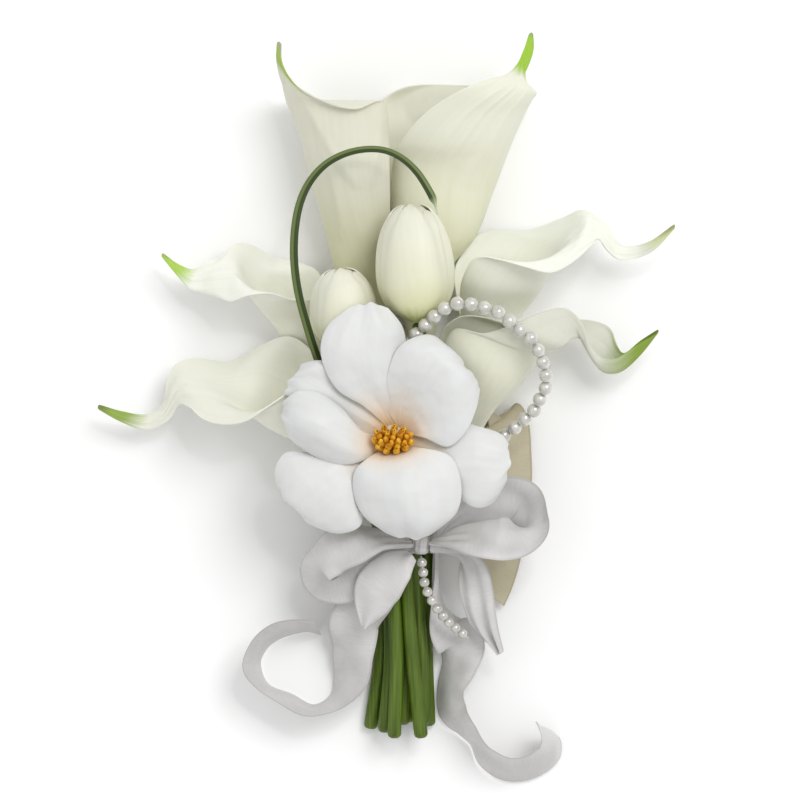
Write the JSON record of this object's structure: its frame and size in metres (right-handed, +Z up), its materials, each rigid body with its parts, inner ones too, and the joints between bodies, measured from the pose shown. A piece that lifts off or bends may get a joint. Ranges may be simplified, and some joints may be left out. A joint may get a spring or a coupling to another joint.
{
  "type": "bridal bouquet",
  "caption": "Hand-tied bridal bouquet of cream calla lilies, closed tulips and an open white flower on green stems, with a satin bow, curled ribbon tails and pearl strands.",
  "frame": {"origin": "on the surface the bouquet lies on, under the middle of its box", "axes": "+X to the right as seen from above, +Y from the cut stem ends towards the flowers, +Z up, away from the surface"},
  "size_m": [0.2893, 0.3762, 0.0745],
  "materials": {
    "petal_cream": "soft matte petal, cream",
    "petal_white": "soft matte petal, white",
    "stamen_yellow": "matte, orange yellow",
    "stem_green": "satin, mid green",
    "blade_green": "satin, dark green",
    "satin_ribbon": "woven satin, pale grey white",
    "backing_ribbon": "woven, dull beige",
    "pearl": "gloss pearl"
  },
  "bodies": {
    "root": {"backing_ribbon": "backing_ribbon", "bow_left_long_tail": "satin_ribbon", "bow_left_loop": "satin_ribbon", "bow_left_short_tail": "satin_ribbon", "bow_right_long_tail": "satin_ribbon", "bow_right_loop": "satin_ribbon", "bow_right_short_tail": "satin_ribbon", "calla_1_spadix": "stamen_yellow", "calla_1_spathe": "petal_cream", "calla_1_stem": "stem_green", "calla_2_spadix": "stamen_yellow", "calla_2_spathe": "petal_cream", "calla_2_stem": "stem_green", "calla_3_spadix": "stamen_yellow", "calla_3_spathe": "petal_cream", "calla_3_stem": "stem_green", "calla_4_spadix": "stamen_yellow", "calla_4_spathe": "petal_cream", "calla_4_stem": "stem_green", "calla_5_spadix": "stamen_yellow", "calla_5_spathe": "petal_cream", "calla_5_stem": "stem_green", "calla_6_spadix": "stamen_yellow", "calla_6_spathe": "petal_cream", "calla_6_stem": "stem_green", "grass_blade": "blade_green", "open_flower_petals": "petal_white", "open_flower_stamens": "stamen_yellow", "open_flower_stem": "stem_green", "pearl_strand_lower": "pearl", "pearl_strand_upper": "pearl", "ribbon_band": "satin_ribbon", "ribbon_knot": "satin_ribbon", "tulip_1_bloom": "petal_cream", "tulip_1_stem": "stem_green", "tulip_2_bloom": "petal_cream", "tulip_2_stem": "stem_green"}
  },
  "joints": []
}
